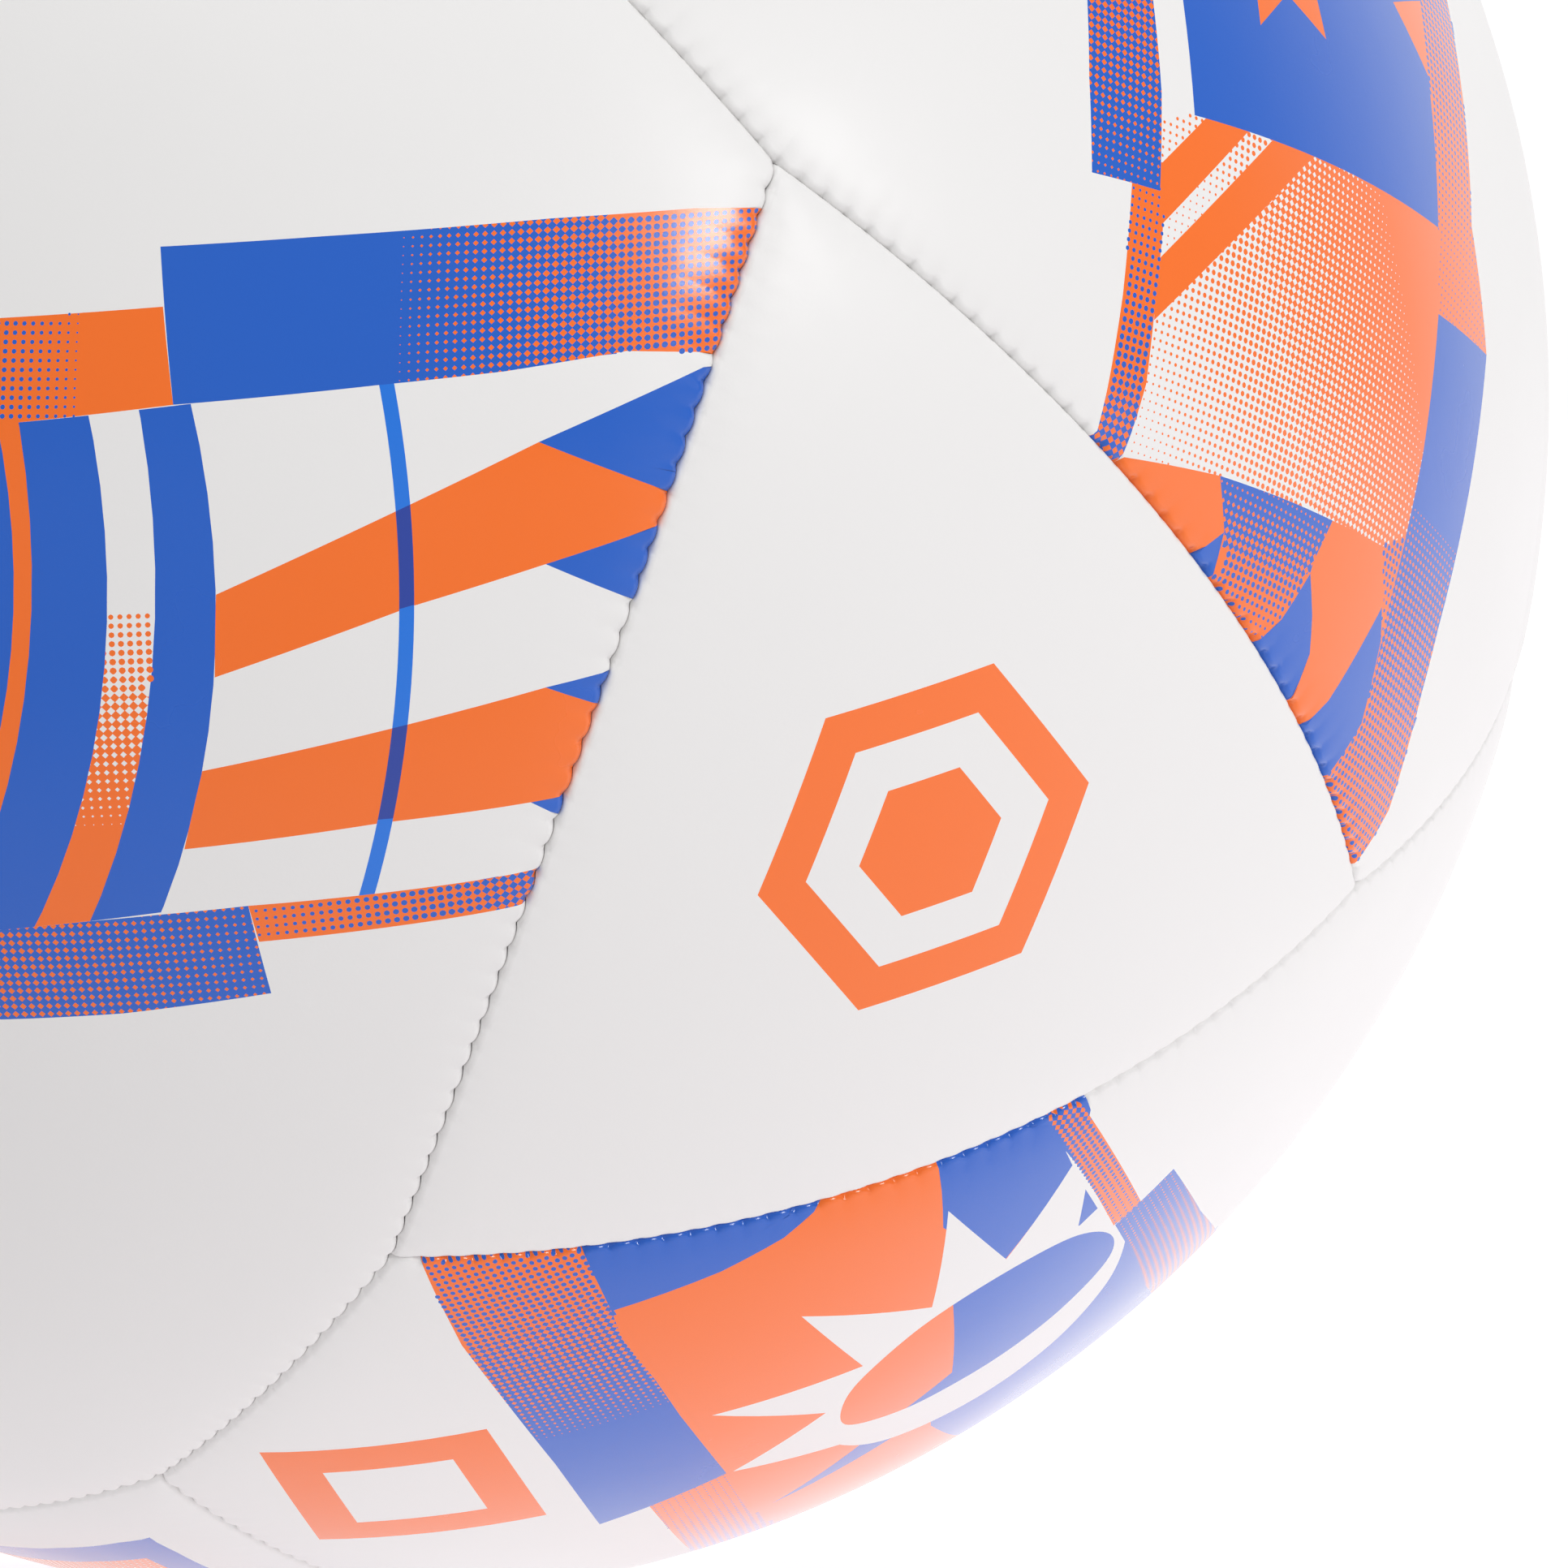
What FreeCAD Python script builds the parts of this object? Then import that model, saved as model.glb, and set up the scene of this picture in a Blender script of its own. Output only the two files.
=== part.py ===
"""A size 5 soccer ball: machine-stitched panels over a butyl bladder with a rubber valve.

The cover is made of fourteen panels, laid out on the directions of a cube. Eight small triangular
panels sit over the cube's corners, and six large waisted panels over its faces. Three layers make up
every panel: a moulded skin whose edges turn in to form flanges, a foam backing and a fabric lining.
A row of stitching runs through the flanges along every seam.

Units are millimetres. The origin is the ball's centre, and +Z runs out through the valve.
"""
import FreeCAD, Part
import math
import os

from FreeCAD import Rotation, Vector

# ---- driving dimensions: the ball and its layers, as radii from the centre
BALL_RADIUS = 110.0
SKIN_THICKNESS = 1.2
FOAM_THICKNESS = 2.6
LINING_THICKNESS = 0.7
GLUE_FILM = 0.05
BLADDER_RADIUS = 104.2
BLADDER_WALL = 1.2

# ---- driving dimensions: where the seams run
SEAM_HALF_LENGTH = math.radians(9.8)      # half the short seam between two large panels
SEAM_TILT = math.radians(31.65)           # from a large panel's middle to the seam at its waist
SEAM_BULGE = math.radians(1.07)           # how far a triangle's side bows out at its middle

# ---- driving dimensions: across a seam, as half gaps from the seam's own surface
LIP_GAP = 0.15                            # between the skins, at the outside
CHANNEL_GAP = 0.5                         # between the flanges, where the thread runs
FLANGE_THICKNESS = 1.0
FLANGE_FOOT_RADIUS = 104.6
THREAD_RADIUS = 0.35
THREAD_SPHERE_RADIUS = 106.8
THREAD_END_TRIM = math.radians(0.8)

# ---- driving dimensions: the valve, along +Z
VALVE_NECK_RADIUS = 4.4
VALVE_NECK_CLEARANCE = 0.1
VALVE_TOP = 109.6
VALVE_FOOT = 91.0
VALVE_FLANGE_RADIUS = 11.0
VALVE_FLANGE_THICKNESS = 1.4
CORE_RADIUS = 3.0
CORE_CLEARANCE = 0.05
CORE_WAIST_RADIUS = 2.5
CORE_FOOT = 93.0
CORE_RIB = 2.0
NEEDLE_RADIUS = 1.0
NEEDLE_DEPTH = 11.0
NEEDLE_DIMPLE_RADIUS = 1.7
NEEDLE_DIMPLE_DEPTH = 0.7
PATCH_RADIUS = 11.5
PATCH_THICKNESS = 0.7
PATCH_OUTER_RADIUS = 105.1

# ---- how the panel layout is turned once the valve points up: about Z, then Y, then X
LAYOUT_TURN = Rotation(-8.3, 45.4, 123.69)
VALVE_CORNER = (-1, 1, -1)

ORIGIN = Vector(0, 0, 0)
UP = Vector(0, 0, 1)
FAR = 400.0
SKIN_INNER_RADIUS = BALL_RADIUS - SKIN_THICKNESS
FOAM_OUTER_RADIUS = SKIN_INNER_RADIUS - GLUE_FILM
FOAM_INNER_RADIUS = FOAM_OUTER_RADIUS - FOAM_THICKNESS
LINING_OUTER_RADIUS = FOAM_INNER_RADIUS - GLUE_FILM
LINING_INNER_RADIUS = LINING_OUTER_RADIUS - LINING_THICKNESS
POCKET_GAP = CHANNEL_GAP + FLANGE_THICKNESS
VALVE_HOLE_RADIUS = VALVE_NECK_RADIUS + VALVE_NECK_CLEARANCE


# ---- the seam layout, as directions and planes

def corner_points():
    """The three ends of the sides of the triangle over the corner (1, 1, 1)."""
    across = math.sin(SEAM_HALF_LENGTH)
    near = math.cos(SEAM_HALF_LENGTH) * math.sin(SEAM_TILT)
    far = math.cos(SEAM_HALF_LENGTH) * math.cos(SEAM_TILT)
    return [Vector(near, across, far), Vector(far, near, across), Vector(across, far, near)]


def side_plane(start, end):
    """The plane that cuts a triangle's bowed side: its normal, which points into the triangle,
    and its distance from the centre."""
    middle = (start + end).normalize()
    outward = start.cross(end).normalize()
    if outward.dot(Vector(1, 1, 1)) > 0:
        outward = -outward
    bowed = middle * math.cos(SEAM_BULGE) + outward * math.sin(SEAM_BULGE)
    normal = (end - start).cross(bowed - start).normalize()
    if normal.dot(Vector(1, 1, 1)) < 0:
        normal = -normal
    return normal, BALL_RADIUS * normal.dot(start)


def signed(vector, signs):
    """The vector mirrored into the corner that the signs name."""
    return Vector(vector.x * signs[0], vector.y * signs[1], vector.z * signs[2])


def corner_sides(signs):
    """The sides of one triangle: start, end, normal and distance of each."""
    points = corner_points()
    sides = []
    for index in range(3):
        start = points[index]
        end = points[(index + 1) % 3]
        normal, distance = side_plane(start, end)
        sides.append((signed(start, signs), signed(end, signs), signed(normal, signs), distance))
    return sides


def axis_vector(axis, sign):
    """A unit vector along one axis of the layout, either way."""
    parts = [0, 0, 0]
    parts[axis % 3] = sign
    return Vector(*parts)


def face_planes(axis, sign):
    """The normals of the four planes between one large panel and its large neighbours."""
    middle = axis_vector(axis, sign)
    normals = []
    for side in (-1, 1):
        waist = axis_vector(axis + 1, side)
        end = axis_vector(axis + 2, side)
        normals.append(middle * math.sin(SEAM_TILT) - waist * math.cos(SEAM_TILT))
        normals.append(middle * math.cos(SEAM_TILT) - end * math.sin(SEAM_TILT))
    return normals


CORNERS = [(x, y, z) for x in (1, -1) for y in (1, -1) for z in (1, -1)]
FACES = [(axis, sign) for axis in (2, 0, 1) for sign in (1, -1)]


# ---- solids that the panels are cut with

def half_space(normal, distance):
    """A large block whose face lies on the plane, on the side that the normal points to."""
    block = Part.makeBox(2 * FAR, 2 * FAR, FAR, Vector(-FAR, -FAR, distance))
    block.Placement = FreeCAD.Placement(ORIGIN, Rotation(UP, normal)).multiply(block.Placement)
    return block


def all_common(solids):
    """What all the solids share."""
    shared = solids[0]
    for solid in solids[1:]:
        shared = shared.common(solid)
    return shared


def corner_region(signs, gap):
    """The space of one triangle, drawn in by the gap from each of its seams."""
    blocks = [half_space(normal, distance + gap) for _, _, normal, distance in corner_sides(signs)]
    return all_common(blocks)


def face_region(axis, sign, gap):
    """The space of one large panel, drawn in by the gap from each of its seams."""
    region = all_common([half_space(normal, gap) for normal in face_planes(axis, sign)])
    for signs in CORNERS:
        if signs[axis] == sign:
            region = region.cut(corner_region(signs, -gap))
    return region


def shell(outer_radius, inner_radius):
    """The space between two spheres round the centre."""
    return Part.makeSphere(outer_radius).cut(Part.makeSphere(inner_radius))


SKIN_SHELL = shell(BALL_RADIUS, SKIN_INNER_RADIUS)
FLANGE_SHELL = shell(SKIN_INNER_RADIUS, FLANGE_FOOT_RADIUS)
FOAM_SHELL = shell(FOAM_OUTER_RADIUS, FOAM_INNER_RADIUS)
LINING_SHELL = shell(LINING_OUTER_RADIUS, LINING_INNER_RADIUS)


# ---- one panel's three layers

def panel_cover(region):
    """The skin with its edges turned in: region is a function of the gap."""
    skin = SKIN_SHELL.common(region(LIP_GAP))
    flange = FLANGE_SHELL.common(region(CHANNEL_GAP).cut(region(POCKET_GAP)))
    return skin.fuse(flange).removeSplitter()


def panel_foam(region):
    """The foam that fills the pocket inside the flanges."""
    return FOAM_SHELL.common(region(POCKET_GAP + GLUE_FILM))


def panel_lining(region):
    """The woven lining bonded to the foam."""
    return LINING_SHELL.common(region(POCKET_GAP + GLUE_FILM))


PANEL_LAYERS = (("cover", panel_cover), ("foam", panel_foam), ("lining", panel_lining))


def valve_hole(solid):
    """The solid, already turned into place, with the hole that the valve's neck stands in."""
    return solid.cut(Part.makeCylinder(VALVE_HOLE_RADIUS, BALL_RADIUS + 10, ORIGIN, UP))


# ---- stitching

def thread_arc(start, end, normal, distance):
    """A thread along one seam, which lies on a circle in the plane of that seam."""
    centre = normal * distance
    circle_radius = math.sqrt(THREAD_SPHERE_RADIUS ** 2 - distance ** 2)
    first = start * THREAD_SPHERE_RADIUS - centre
    first = (first - normal * first.dot(normal)).normalize()
    last = end * THREAD_SPHERE_RADIUS - centre
    last = (last - normal * last.dot(normal)).normalize()
    turn = normal if normal.dot(first.cross(last)) > 0 else -normal
    trimmed = Rotation(turn, math.degrees(THREAD_END_TRIM)).multVec(first)
    angle = first.getAngle(last) - 2 * THREAD_END_TRIM
    section = Part.makeCircle(THREAD_RADIUS, centre + trimmed * circle_radius, turn.cross(trimmed))
    face = Part.Face(Part.Wire(section))
    return face.revolve(centre, turn, math.degrees(angle))


def corner_stitching(signs):
    """The three rows of stitching round one triangle."""
    arcs = [thread_arc(*side) for side in corner_sides(signs)]
    return Part.makeCompound(arcs)


def cross_stitching():
    """The twelve short rows, each between two large panels and across an axis plane."""
    arcs = []
    for axis, sign in FACES:
        for side in (-1, 1):
            middle = axis_vector(axis, sign) * math.cos(SEAM_TILT)
            middle = middle + axis_vector(axis + 1, side) * math.sin(SEAM_TILT)
            across = axis_vector(axis + 2, 1)
            reach = across * math.sin(SEAM_HALF_LENGTH)
            start = middle * math.cos(SEAM_HALF_LENGTH) - reach
            end = middle * math.cos(SEAM_HALF_LENGTH) + reach
            arcs.append(thread_arc(start, end, middle.cross(across), 0.0))
    return Part.makeCompound(arcs)


# ---- bladder and valve, built straight along +Z

def turned(profile):
    """A solid of revolution about Z from (radius, height) points."""
    points = [Vector(radius, 0, height) for radius, height in profile]
    outline = Part.makePolygon(points + [points[0]])
    return Part.Face(outline).revolve(ORIGIN, UP, 360)


def bladder():
    """The airtight butyl sphere, open where the valve's neck passes."""
    wall = shell(BLADDER_RADIUS, BLADDER_RADIUS - BLADDER_WALL)
    return wall.cut(Part.makeCylinder(VALVE_HOLE_RADIUS, BALL_RADIUS, ORIGIN, UP))


def valve_housing():
    """The moulded rubber housing: a neck, a blind bore for the core, and a flange that lies
    against the inside of the bladder."""
    neck = Part.makeCylinder(VALVE_NECK_RADIUS, VALVE_TOP - VALVE_FOOT, Vector(0, 0, VALVE_FOOT), UP)
    flange_outer = BLADDER_RADIUS - BLADDER_WALL - GLUE_FILM
    flange = shell(flange_outer, flange_outer - VALVE_FLANGE_THICKNESS)
    flange = flange.common(Part.makeCylinder(VALVE_FLANGE_RADIUS, FAR, ORIGIN, UP))
    bore = Part.makeCylinder(CORE_RADIUS + CORE_CLEARANCE, FAR, Vector(0, 0, CORE_FOOT), UP)
    return neck.fuse(flange).cut(bore).removeSplitter()


def valve_core():
    """The self-sealing core: a ribbed rubber plug with the needle's blind hole down its middle."""
    top = VALVE_TOP
    hole_foot = top - NEEDLE_DEPTH
    waist_foot = CORE_FOOT + CORE_RIB
    waist_top = top - 2 * CORE_RIB
    return turned([
        (0, CORE_FOOT),
        (CORE_WAIST_RADIUS, CORE_FOOT),
        (CORE_RADIUS, CORE_FOOT + CORE_RIB / 2),
        (CORE_RADIUS, waist_foot),
        (CORE_WAIST_RADIUS, waist_foot + CORE_RIB / 2),
        (CORE_WAIST_RADIUS, waist_top),
        (CORE_RADIUS, waist_top + CORE_RIB / 2),
        (CORE_RADIUS, top),
        (NEEDLE_DIMPLE_RADIUS, top),
        (NEEDLE_RADIUS, top - NEEDLE_DIMPLE_DEPTH),
        (NEEDLE_RADIUS, hole_foot),
        (0, hole_foot),
    ])


def valve_patch():
    """The reinforcing disc between the lining and the bladder."""
    disc = shell(PATCH_OUTER_RADIUS, PATCH_OUTER_RADIUS - PATCH_THICKNESS)
    disc = disc.common(Part.makeCylinder(PATCH_RADIUS, FAR, ORIGIN, UP))
    return disc.cut(Part.makeCylinder(VALVE_HOLE_RADIUS, FAR, ORIGIN, UP))


# ---- the whole ball

def turned_into_place(solid):
    """A copy of a solid of the layout, turned so that the valve points up."""
    placed = solid.copy()
    placed.Placement = FreeCAD.Placement(ORIGIN, LAYOUT_TURN).multiply(placed.Placement)
    return placed


def panel_nodes(name, region, has_valve):
    """The layers of one panel, by node name."""
    nodes = {}
    for layer, make in PANEL_LAYERS:
        solid = turned_into_place(make(region))
        kind, number = name
        nodes[f"{kind}_{layer}_{number}"] = valve_hole(solid) if has_valve else solid
    return nodes


def all_nodes():
    """Every sub-part of the ball, by node name."""
    nodes = {}
    for number, signs in enumerate(CORNERS, start=1):
        region = lambda gap, signs=signs: corner_region(signs, gap)
        nodes.update(panel_nodes(("corner", number), region, signs == VALVE_CORNER))
        nodes[f"corner_stitching_{number}"] = turned_into_place(corner_stitching(signs))
    for number, (axis, sign) in enumerate(FACES, start=1):
        region = lambda gap, axis=axis, sign=sign: face_region(axis, sign, gap)
        nodes.update(panel_nodes(("large", number), region, False))
    nodes["cross_stitching"] = turned_into_place(cross_stitching())
    nodes["bladder"] = bladder()
    nodes["valve_housing"] = valve_housing()
    nodes["valve_core"] = valve_core()
    nodes["valve_patch"] = valve_patch()
    return nodes


os.makedirs("parts", exist_ok=True)
for node_name, shape in all_nodes().items():
    solids = len(shape.Solids)
    print(f"{node_name}: {solids} solid(s), {shape.Volume / 1000:.2f} cm3, valid {shape.isValid()}")
    shape.exportStep(f"parts/{node_name}.step")
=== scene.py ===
import math

import bpy
import numpy as np
from mathutils import Euler, Matrix, Vector
from mathutils.geometry import delaunay_2d_cdt


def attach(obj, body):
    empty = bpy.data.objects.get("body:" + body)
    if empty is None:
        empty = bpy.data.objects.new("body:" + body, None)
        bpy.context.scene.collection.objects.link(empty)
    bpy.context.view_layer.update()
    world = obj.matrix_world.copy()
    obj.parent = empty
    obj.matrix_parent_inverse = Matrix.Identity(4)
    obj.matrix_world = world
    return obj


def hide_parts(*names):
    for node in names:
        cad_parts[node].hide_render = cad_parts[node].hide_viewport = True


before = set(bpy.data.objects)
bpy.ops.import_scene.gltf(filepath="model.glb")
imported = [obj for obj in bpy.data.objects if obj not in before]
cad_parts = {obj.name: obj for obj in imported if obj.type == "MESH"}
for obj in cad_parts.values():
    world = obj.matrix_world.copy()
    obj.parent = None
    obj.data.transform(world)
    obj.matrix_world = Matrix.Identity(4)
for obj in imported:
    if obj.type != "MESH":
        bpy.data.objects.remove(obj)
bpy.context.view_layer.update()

MM = 0.001

# ---- the ball and its seam layout, in millimetres and radians, as in the frame
RADIUS = 110.0
SEAM_HALF = math.radians(9.8)
SEAM_TILT = math.radians(31.65)
SEAM_BULGE = math.radians(1.07)
LIP_GAP = 0.04
VALVE_HOLE = 4.5
LAYOUT = (
    Matrix.Rotation(math.radians(-8.3), 3, "Z")
    @ Matrix.Rotation(math.radians(45.4), 3, "Y")
    @ Matrix.Rotation(math.radians(123.69), 3, "X")
)
LAYOUT = np.array(LAYOUT)
CORNERS = [(x, y, z) for x in (1, -1) for y in (1, -1) for z in (1, -1)]
FACES = [(axis, sign) for axis in (2, 0, 1) for sign in (1, -1)]

# ---- which corner panels differ from the rest; TURNED_CORNERS gives the way across the panel
VALVE_CORNER = 6
HEXAGON_CORNERS = (1, 8)
INSET_CORNERS = (3, 4)
TURNED_CORNERS = {1: (-1, 1, 1), 3: (1, 1, 1), 6: (1, 1, 1)}

# ---- a stitched edge: the rolled lip, the skin's sag behind it, and a pucker and a notch at each stitch
STITCH_PITCH = 2.15
ROLL_START = LIP_GAP * 0.6
ROLL_WIDTH = 0.52
ROLL_NARROWEST = 0.82
ROLL_SPREAD = 0.34
ROLL_DEPTH = 0.48
STEEPEST_ROLL = 0.985
SAG_DEPTH = 0.36
SAG_REACH = 2.2
SAG_CURVE = 1.3
PUCKER_DEPTH = 0.065
PUCKER_REACH = 1.1
NOTCH_DEPTH = 0.28
NOTCH_REACH = 0.34
SCALLOP = 0.19
SCALLOP_CURVE = 0.8
SCALLOP_MIDDLE = 0.6
CORNER_BLEND = 3.0

# ---- the skin's rim at the valve
RIM_ROLL_WIDTH = 0.7
RIM_ROLL_DEPTH = 0.45
RIM_STEEPEST_ROLL = 0.97
RIM_SAG_DEPTH = 0.12
RIM_SAG_REACH = 2.0
RIM_ROWS = (0.15, 0.35, 0.7, 1.3, 2.2)
RIM_SIDES = 64
HOLE_SIDES = 48

# ---- how fine the meshes are, and the turned-in edge as (distance from the seam, radius) loops
EDGE_ROWS = (0.22, 0.36, 0.55, 0.8, 1.15, 1.65, 2.4, 3.6)
EDGE_STEP = 0.3
GRID_STEP = 2.6
GRID_REACH = 125
PRINT_STEP = 2.5
NORMAL_STEP = 0.03
SKIN_UNDERSIDE = 108.9
UNDERSIDE_GAP = 1.5
UNDERSIDE_STEP = 6.0
FLANGE_LOOPS = ((0.2, 108.0), (0.5, 107.4), (0.5, 104.8), (1.45, 104.8), (UNDERSIDE_GAP, SKIN_UNDERSIDE))

# ---- the camera, in metres, millimetres and degrees
CAMERA_DISTANCE = 0.47199
CAMERA_LENS = 114.95
CAMERA_SENSOR = 36
CAMERA_TILT = 85.7575
CAMERA_TURN = -4.811

# ---- the halftone screen: a square lattice turned 45 degrees
SCREEN_PITCH = 0.68
SCREEN_HALF = SCREEN_PITCH / math.sqrt(2)
SMALLEST_DOT = 0.05
DOT_SIDES = 8
MOST_DOT = 0.5
MOST_SQUARE = 0.56
JOINED_REACH = 2.5

# ---- a shape whose doubled area is below SLIVER is left out, and a length below TINY counts as zero
SLIVER = 0.004
TINY = 1e-9
MERGE_DISTANCE = 1e-5

COLOURS = ("white", "blue", "orange", "azure", "deep")
WHITE, BLUE, ORANGE, AZURE, DEEP = range(5)
HOLE = -1


def unit(vector):
    """The vector scaled to length 1; works on rows too."""
    vector = np.asarray(vector, float)
    return vector / np.linalg.norm(vector, axis=-1, keepdims=True)


# ---- seams and panels

class Seam:
    """One side of a panel: an arc from start to end, in a plane whose normal points into the panel."""

    def __init__(self, start, end, normal, distance, side):
        self.normal = normal
        self.distance = distance
        centre = normal * distance
        self.circle = math.sqrt(RADIUS ** 2 - distance ** 2)
        self.first = unit(start * RADIUS - centre)
        last = unit(end * RADIUS - centre)
        self.second = unit(last - self.first * self.first.dot(last))
        self.length = math.acos(float(self.first.dot(last))) * self.circle
        self.stitches = round(self.length / STITCH_PITCH)
        self.side = side

    def scallop(self, stitches):
        """How far the seam wanders to the inside of this panel: a small bow between stitches."""
        return self.side * SCALLOP * (np.abs(np.sin(math.pi * stitches)) ** SCALLOP_CURVE - SCALLOP_MIDDLE)

    def gap(self, points):
        """How far inside the seam each direction is, in millimetres."""
        return points @ self.normal * RADIUS - self.distance - self.scallop(self.along(points))

    def along(self, points):
        """How far along the seam each direction is, in stitches."""
        turn = np.arctan2(points @ self.second, points @ self.first)
        return turn * self.circle / self.length * self.stitches

    def place(self, share, gap):
        """The direction at a share of the way along, drawn into the panel by the gap."""
        angle = share * self.length / self.circle
        distance = self.distance + gap + float(self.scallop(share * self.stitches))
        circle = math.sqrt(RADIUS ** 2 - distance ** 2)
        round_it = self.first * math.cos(angle) + self.second * math.sin(angle)
        return (self.normal * distance + round_it * circle) / RADIUS


def bowed_seam(start, end, corner, inward):
    """The seam between a small triangle and a large panel; inward is +1 for the triangle."""
    middle = unit(start + end)
    outward = unit(np.cross(start, end))
    outward = -outward if outward.dot(corner) > 0 else outward
    bowed = middle * math.cos(SEAM_BULGE) + outward * math.sin(SEAM_BULGE)
    normal = unit(np.cross(end - start, bowed - start))
    normal = -normal if normal.dot(corner) < 0 else normal
    return Seam(start, end, normal * inward, RADIUS * normal.dot(start) * inward, inward)


def straight_seam(start, end, middle):
    """The seam between two large panels, which lies in a plane through the centre."""
    normal = unit(np.cross(start, end))
    normal = -normal if normal.dot(middle) < 0 else normal
    side = 1 if normal.sum() > 0 else -1
    return Seam(start, end, normal, 0.0, side)


class Panel:
    """One panel of the cover: its own frame of middle, across and up, and its seams in order."""

    def __init__(self, name, middle, across, seams):
        self.name = name
        self.has_valve = name == f"corner_cover_{VALVE_CORNER}"
        self.middle = unit(middle)
        self.across = unit(across - self.middle * self.middle.dot(across))
        self.up = np.cross(self.middle, self.across)
        self.seams = seams

    def flat(self, points):
        """Directions laid flat: distances from the middle are kept, in millimetres."""
        angle = np.arccos(np.clip(points @ self.middle, -1, 1))
        stretch = RADIUS * angle / np.maximum(np.sin(angle), TINY)
        return np.stack([points @ self.across * stretch, points @ self.up * stretch], axis=-1)

    def round(self, flat):
        """Flat points put back on the sphere, as directions."""
        reach = np.hypot(flat[:, 0], flat[:, 1])
        angle = (reach / RADIUS)[:, None]
        sideways = flat[:, :1] * self.across + flat[:, 1:] * self.up
        sideways = sideways / np.maximum(reach, TINY)[:, None]
        return self.middle * np.cos(angle) + sideways * np.sin(angle)

    def gap(self, points):
        """How far inside the nearest seam each direction is."""
        return np.min([seam.gap(points) for seam in self.seams], axis=0)

    def inset(self, points, gap):
        """Directions moved in so that none is nearer to a seam than the gap."""
        for _ in range(12):
            for seam in self.seams:
                short = np.maximum(gap - seam.gap(points), 0)[:, None]
                points = unit(points + seam.normal * short / RADIUS)
        return points

    def outline(self, gap, step):
        """The panel's edge as directions, drawn in by the gap."""
        rows = []
        for seam in self.seams:
            count = max(2, round(seam.length / step))
            rows += [seam.place(index / count, gap) for index in range(count)]
        return self.inset(np.array(rows), gap)


def large_panel(number, axis, sign):
    """A waisted panel over a face of the layout's cube."""
    middle = np.eye(3)[axis] * sign
    across = np.eye(3)[(axis + 1) % 3]
    up = np.cross(middle, across)
    near, far = math.sin(SEAM_TILT), math.cos(SEAM_TILT)
    reach, short = math.cos(SEAM_HALF), math.sin(SEAM_HALF)

    def waist(side, end):
        return (middle * far + across * side * near) * reach + up * end * short

    def tip(side, end):
        return (middle * near + up * end * far) * reach + across * side * short

    def corner(side, end):
        return middle + across * side + up * end

    seams = []
    for side in (1, -1):
        seams.append(straight_seam(waist(side, -side), waist(side, side), middle))
        seams.append(bowed_seam(waist(side, side), tip(side, side), corner(side, side), -1))
        seams.append(straight_seam(tip(side, side), tip(-side, side), middle))
        seams.append(bowed_seam(tip(-side, side), waist(-side, side), corner(-side, side), -1))
    return Panel(f"large_cover_{number}", middle, across, seams)


def corner_panel(number, signs, across):
    """A small triangular panel over a corner of the layout's cube."""
    near = math.cos(SEAM_HALF) * math.sin(SEAM_TILT)
    far = math.cos(SEAM_HALF) * math.cos(SEAM_TILT)
    short = math.sin(SEAM_HALF)
    signs = np.array(signs, float)
    ends = [signs * (near, short, far), signs * (far, near, short), signs * (short, far, near)]
    if signs.prod() < 0:
        ends.reverse()
    seams = [bowed_seam(ends[i], ends[(i + 1) % 3], signs, 1) for i in range(3)]
    return Panel(f"corner_cover_{number}", signs, np.array(across, float), seams)


# ---- the shape of a stitched panel

def seam_depth(gap, along):
    """How far the skin turns down near one seam, pulled in most at each stitch."""
    pull = 0.5 + 0.5 * np.cos(2 * np.pi * along)
    width = ROLL_WIDTH * (ROLL_NARROWEST + ROLL_SPREAD * pull)
    rise = np.clip(1 - (gap - ROLL_START) / width, 0, 1)
    roll = ROLL_DEPTH * (1 - np.sqrt(1 - np.minimum(rise, STEEPEST_ROLL) ** 2))
    inside = np.maximum(gap, 0)
    sag = SAG_DEPTH * np.exp(-(inside / SAG_REACH) ** SAG_CURVE)
    pucker = PUCKER_DEPTH * pull * np.exp(-(inside / PUCKER_REACH) ** 2)
    from_stitch = (along - np.round(along)) * STITCH_PITCH
    notch = NOTCH_DEPTH * np.exp(-(inside ** 2 + from_stitch ** 2) / NOTCH_REACH ** 2)
    return roll + sag + pucker + notch


def valve_distance(points):
    """How far each direction is from the valve's axis, in millimetres."""
    turned = points @ LAYOUT.T
    return RADIUS * np.hypot(turned[:, 0], turned[:, 1])


def skin_radius(panel, points):
    """The radius of the finished skin in each direction."""
    total = np.zeros(len(points))
    for seam in panel.seams:
        total += seam_depth(seam.gap(points), seam.along(points)) ** CORNER_BLEND
    depth = total ** (1 / CORNER_BLEND)
    if panel.has_valve:
        rim = valve_distance(points) - VALVE_HOLE
        rise = np.clip(1 - rim / RIM_ROLL_WIDTH, 0, 1)
        depth = depth + RIM_ROLL_DEPTH * (1 - np.sqrt(1 - np.minimum(rise, RIM_STEEPEST_ROLL) ** 2))
        depth = depth + RIM_SAG_DEPTH * np.exp(-np.maximum(rim, 0) / RIM_SAG_REACH)
    return RADIUS - depth


def skin_normals(panel, points):
    """The skin's normals, from how its radius changes sideways."""
    step = NORMAL_STEP / RADIUS
    slanted = np.array([0.31, 0.52, 0.79])
    side = unit(np.cross(points, slanted))
    other = np.cross(points, side)
    radius = skin_radius(panel, points)
    slope_side = (skin_radius(panel, unit(points + side * step)) - radius) / step
    slope_other = (skin_radius(panel, unit(points + other * step)) - radius) / step
    tilt = side * slope_side[:, None] + other * slope_other[:, None]
    return unit(points - tilt / radius[:, None])


# ---- flat shapes for the print

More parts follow.
